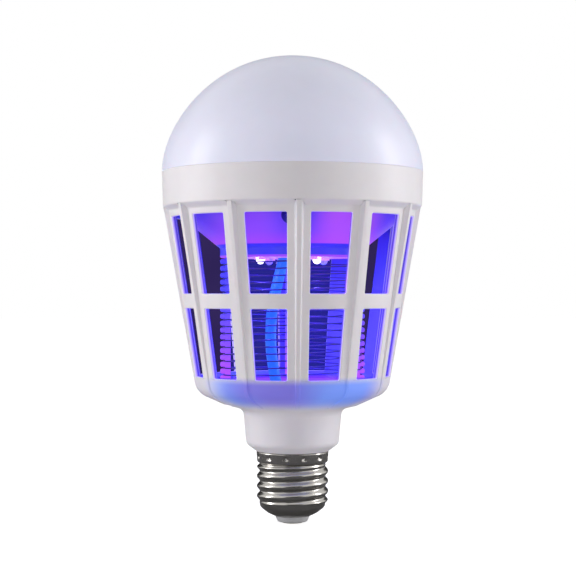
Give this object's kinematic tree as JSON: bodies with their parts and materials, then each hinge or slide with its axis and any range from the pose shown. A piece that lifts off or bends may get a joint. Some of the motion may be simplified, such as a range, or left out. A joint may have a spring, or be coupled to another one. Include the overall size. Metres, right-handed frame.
{
  "type": "insect killer light bulb",
  "caption": "Screw-cap light bulb with a milky dome over a ribbed open cage that holds ultraviolet emitters and a wound high-voltage grid.",
  "frame": {"origin": "middle of the centre contact's underside, at the tip of the screw cap", "axes": "+Z along the lamp's axis, from the cap towards the dome; +X through one post of the cage and one post of the grid"},
  "size_m": [0.0954, 0.0954, 0.1704],
  "materials": {
    "milky_dome": "milky polycarbonate, satin",
    "cage_plastic": "moulded, semi-gloss",
    "nickel_cap": "nickel-plated, satin",
    "cap_insulator": "pressed, matt",
    "contact_metal": "tinned",
    "inner_plastic": "moulded, semi-gloss",
    "tray_plastic": "moulded, semi-gloss",
    "grid_wire": "drawn, bright",
    "sleeve_plastic": "extruded, satin",
    "lead_insulation": "extruded, satin",
    "circuit_board": "solder mask",
    "uv_board_white": "white solder mask",
    "uv_emitter": "clear lens over a violet chip",
    "white_emitter": "phosphor in a white frame",
    "light_board_white": "aluminium core, white mask",
    "spreader_aluminium": "stamped",
    "screw_steel": "zinc-plated",
    "capacitor_sleeve": "shrink sleeve",
    "ferrite_core": "sintered ferrite",
    "black_epoxy": "moulded epoxy",
    "resistor_lacquer": "lacquered",
    "film_epoxy": "dipped epoxy"
  },
  "bodies": {
    "root": {"diffuser_dome": "milky_dome", "cage_bowl": "cage_plastic", "cage_posts": "cage_plastic", "cage_bars": "cage_plastic", "cage_ring": "cage_plastic", "screw_shell": "nickel_cap", "base_insulator": "cap_insulator", "centre_contact": "contact_metal", "head_base": "inner_plastic", "insect_tray": "tray_plastic", "grid_wire_live": "grid_wire", "grid_wire_return": "grid_wire", "grid_post_1": "inner_plastic", "grid_post_2": "inner_plastic", "grid_post_3": "inner_plastic", "grid_post_4": "inner_plastic", "lead_sleeve": "sleeve_plastic", "centre_lead": "lead_insulation", "shell_lead": "lead_insulation", "grid_lead_live": "lead_insulation", "grid_lead_return": "lead_insulation", "uv_board_leads": "lead_insulation", "light_leads": "lead_insulation", "uv_board": "uv_board_white", "uv_leds": "uv_emitter", "white_leds": "white_emitter", "led_board": "light_board_white", "heat_spreader": "spreader_aluminium", "head_screws": "screw_steel", "board_screws": "screw_steel", "driver_board": "circuit_board", "bulk_capacitor": "capacitor_sleeve", "transformer": "ferrite_core", "bridge_rectifier": "black_epoxy", "multiplier_diodes": "black_epoxy", "fusible_resistor": "resistor_lacquer", "multiplier_capacitors": "film_epoxy"}
  },
  "joints": []
}
